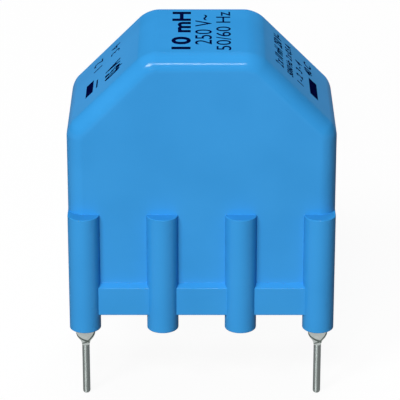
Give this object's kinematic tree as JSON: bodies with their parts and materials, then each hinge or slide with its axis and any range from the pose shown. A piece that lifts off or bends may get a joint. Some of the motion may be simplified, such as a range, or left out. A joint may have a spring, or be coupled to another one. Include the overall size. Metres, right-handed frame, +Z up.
{
  "type": "common mode choke",
  "caption": "Upright common mode choke: a ring core with two windings, potted in an arched, ribbed blue plastic case that stands on round posts with tinned pins for a circuit board.",
  "frame": {"origin": "centre of the four-pin pattern, on the plane where the posts stand on the board", "axes": "+Z up, away from the board; X along the wide side, the longer pin spacing; the front faces -Y"},
  "size_m": [0.017, 0.012, 0.0232],
  "materials": {
    "case_plastic": "satin moulded thermoplastic, bright blue",
    "casting_resin": "cast resin, dark grey, slightly uneven",
    "ferrite": "ferrite ring with a thin coating",
    "enamelled_copper": "copper wire under clear enamel",
    "insulation": "natural plastic strip",
    "tinned_pin": "drawn wire, tinned",
    "solder": "dip-soldered wire wrap, uneven"
  },
  "bodies": {
    "root": {"case": "case_plastic", "resin": "casting_resin", "ring_core": "ferrite", "winding_left": "enamelled_copper", "winding_right": "enamelled_copper", "winding_divider": "insulation", "pin_1": "tinned_pin", "pin_2": "tinned_pin", "pin_3": "tinned_pin", "pin_4": "tinned_pin", "solder_collar_1": "solder", "solder_collar_2": "solder", "solder_collar_3": "solder", "solder_collar_4": "solder"}
  },
  "joints": []
}
